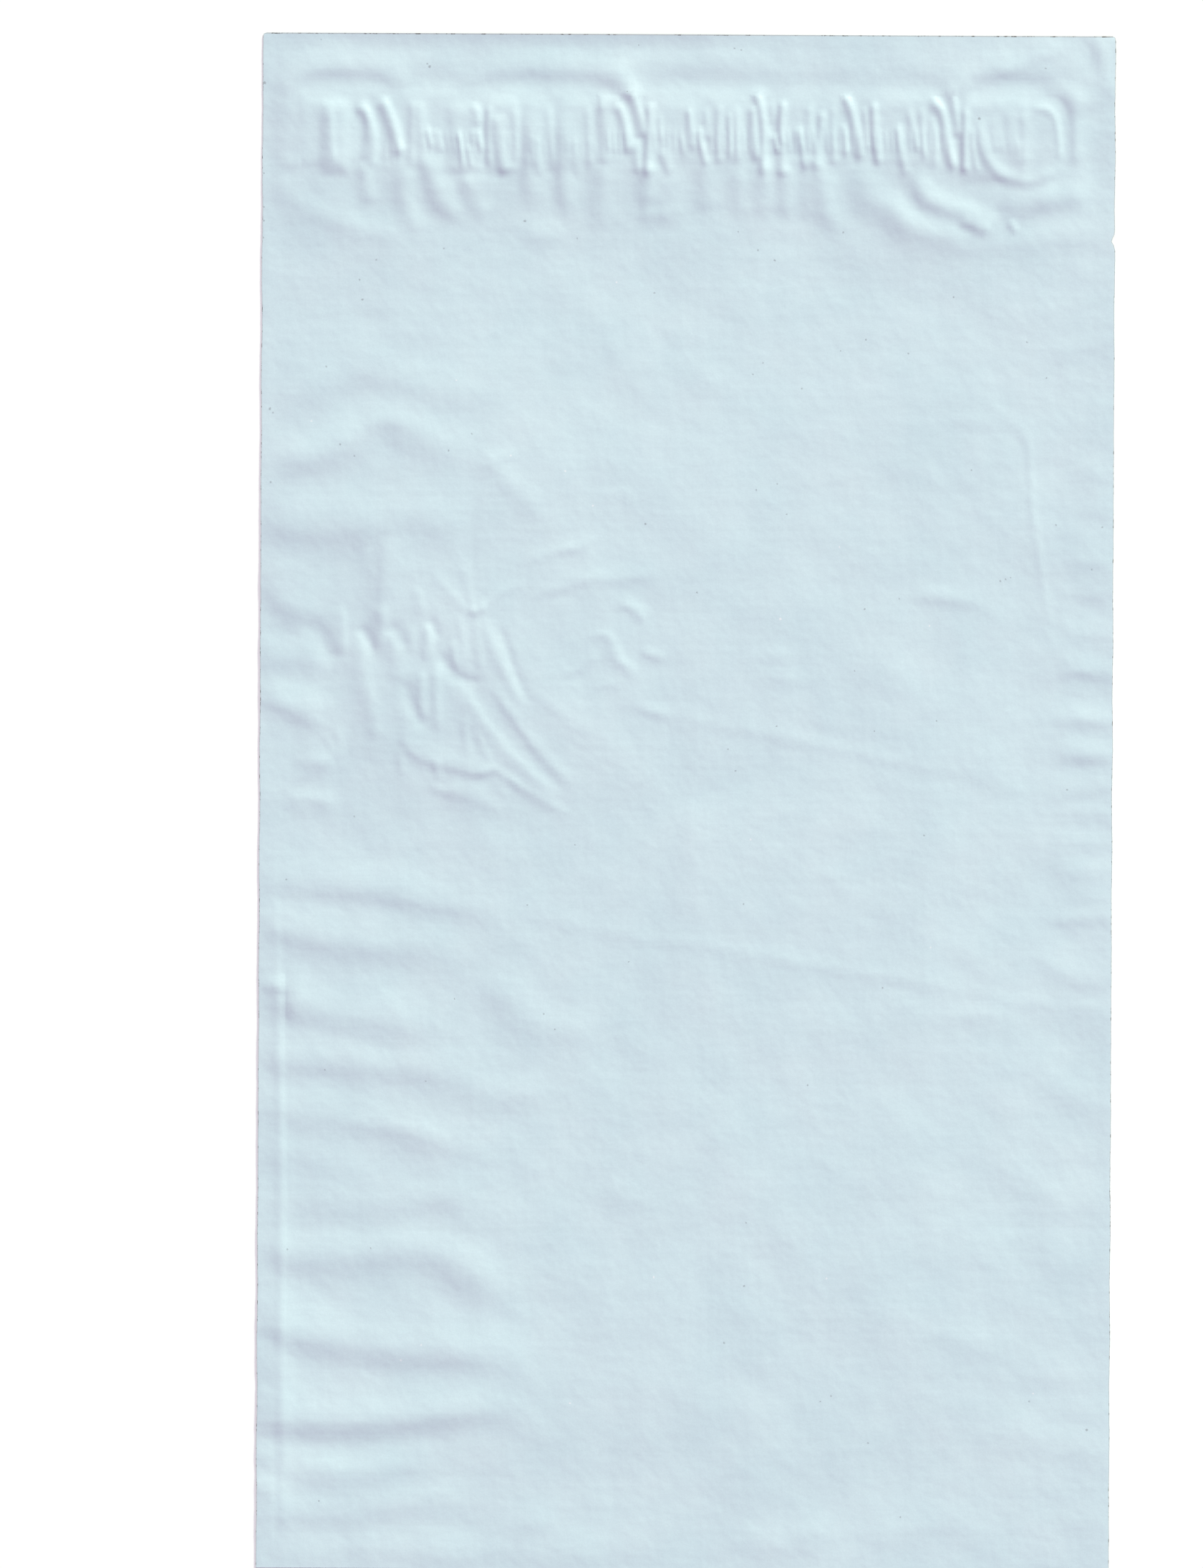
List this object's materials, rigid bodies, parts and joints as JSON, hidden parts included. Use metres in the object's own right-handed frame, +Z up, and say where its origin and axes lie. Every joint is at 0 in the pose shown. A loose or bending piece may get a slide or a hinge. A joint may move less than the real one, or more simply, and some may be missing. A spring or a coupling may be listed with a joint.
{
  "type": "poly mailer bag",
  "caption": "Empty film mailing bag lying on its front, with an open mouth, welded sides and an unfolded closing flap whose adhesive band is covered by a release strip.",
  "frame": {"origin": "centre of the bag's outline, on the surface that it lies on", "axes": "+X across the bag, +Y along it from the bottom fold to the flap's free edge, +Z up out of the back panel"},
  "size_m": [0.1512, 0.2718, 0.0013],
  "materials": {
    "film": "satin opaque polyethylene film, pale bluish white outside and silver grey inside",
    "adhesive": "clear yellowish hot-melt adhesive, glossy",
    "liner": "smooth siliconed release paper"
  },
  "bodies": {
    "root": {"mailer_film": "film", "adhesive_strip": "adhesive", "release_liner": "liner"}
  },
  "joints": []
}
